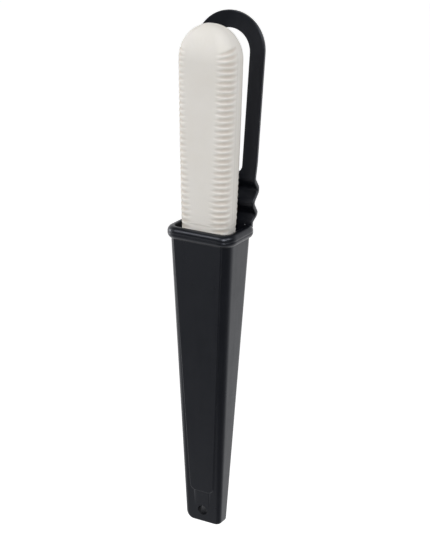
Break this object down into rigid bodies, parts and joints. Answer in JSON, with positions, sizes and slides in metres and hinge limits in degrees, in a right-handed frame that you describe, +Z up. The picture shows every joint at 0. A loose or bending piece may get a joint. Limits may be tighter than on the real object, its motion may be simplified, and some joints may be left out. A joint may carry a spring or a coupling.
{
  "type": "belt sheath knife",
  "caption": "Fluted off-white grip and straight blade seated in a tapered black belt scabbard with a beaded mouth, a flexing corrugated neck, an arched belt loop and a holed tip.",
  "frame": {"origin": "under the arch of the belt loop, at the middle of its thickness, where the belt carries the weight", "axes": "+Z up along the grip, +Y towards the wearer (the loop's side), +X across the width"},
  "size_m": [0.04, 0.0363, 0.2768],
  "materials": {
    "scabbard_black": "satin moulded polypropylene",
    "grip_white": "fine matt moulded polypropylene",
    "blade_steel": "fine ground"
  },
  "bodies": {
    "loop": {"belt_loop": "scabbard_black"},
    "scabbard": {"sheath_body": "scabbard_black", "flex_neck": "scabbard_black"},
    "tool": {"ribbed_grip": "grip_white", "blade_and_tang": "blade_steel"}
  },
  "joints": [
    {"name": "loop_flex", "type": "hinge", "parent": "loop", "child": "scabbard", "pos_m": [0, -0.00647, -0.08691], "axis": [1, 0, 0], "range_deg": [-4, 25], "stiffness_Nm_per_rad": 1.2, "deforming": ["flex_neck"]},
    {"name": "tool_draw", "type": "slide", "parent": "scabbard", "child": "tool", "axis": [0, 0, 1], "range_m": [0, 0.171]}
  ]
}
